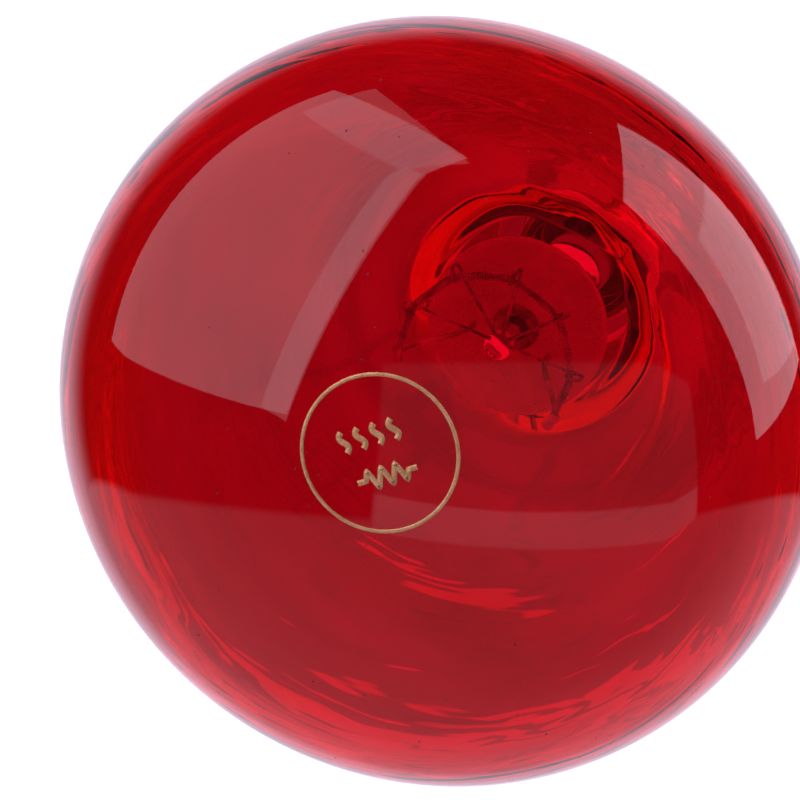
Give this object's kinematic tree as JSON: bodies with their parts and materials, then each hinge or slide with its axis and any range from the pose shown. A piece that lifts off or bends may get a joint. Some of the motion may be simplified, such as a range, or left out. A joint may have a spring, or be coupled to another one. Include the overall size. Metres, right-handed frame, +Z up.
{
  "type": "infrared heat lamp bulb",
  "caption": "Red clear-glass infrared heat bulb for brooding chicks: flattened crown, conical back, long neck, coiled filament on a glass mount, and a screw cap.",
  "frame": {"origin": "middle of the flat face of the centre contact's solder, at the foot of the cap", "axes": "+Z up the bulb's axis from the cap to the crown; +X is the reading direction of the print on the crown"},
  "size_m": [0.125, 0.125, 0.173],
  "materials": {
    "red_glass": "clear red glass, fire polished",
    "clear_glass": "clear lead glass",
    "nickel_wire": "nickel-plated drawn wire",
    "copper_wire": "drawn copper-clad wire",
    "tungsten": "fine drawn tungsten coil",
    "molybdenum": "drawn molybdenum",
    "mica": "split mica, smooth and faintly layered",
    "collar_steel": "pressed nickel-plated steel",
    "shell_metal": "rolled and plated brass",
    "black_glass": "moulded black glass",
    "contact_brass": "stamped brass",
    "solder": "tin solder, dull bright",
    "cement": "baked basing cement, matt",
    "gold_ink": "fired gold-coloured ink"
  },
  "bodies": {
    "root": {"basing_cement": "cement", "cap_insulator": "black_glass", "centre_contact": "contact_brass", "centre_lead": "copper_wire", "centre_solder": "solder", "deflector_collar": "collar_steel", "exhaust_tube": "clear_glass", "filament_clamp_left": "nickel_wire", "filament_clamp_right": "nickel_wire", "filament_coil": "tungsten", "fuse_wire": "nickel_wire", "glass_arbor": "clear_glass", "glass_bowl": "red_glass", "glass_neck": "red_glass", "heat_deflector": "mica", "lead_in_left": "nickel_wire", "lead_in_right": "nickel_wire", "print_element_sign": "gold_ink", "print_heat_sign": "gold_ink", "print_ring": "gold_ink", "screw_shell": "shell_metal", "seal_wire_left": "copper_wire", "seal_wire_right": "copper_wire", "side_lead": "copper_wire", "side_solder": "solder", "stem_flare": "clear_glass", "stem_press": "clear_glass", "support_wire_1": "molybdenum", "support_wire_2": "molybdenum", "support_wire_3": "molybdenum", "support_wire_4": "molybdenum", "support_wire_5": "molybdenum"}
  },
  "joints": []
}
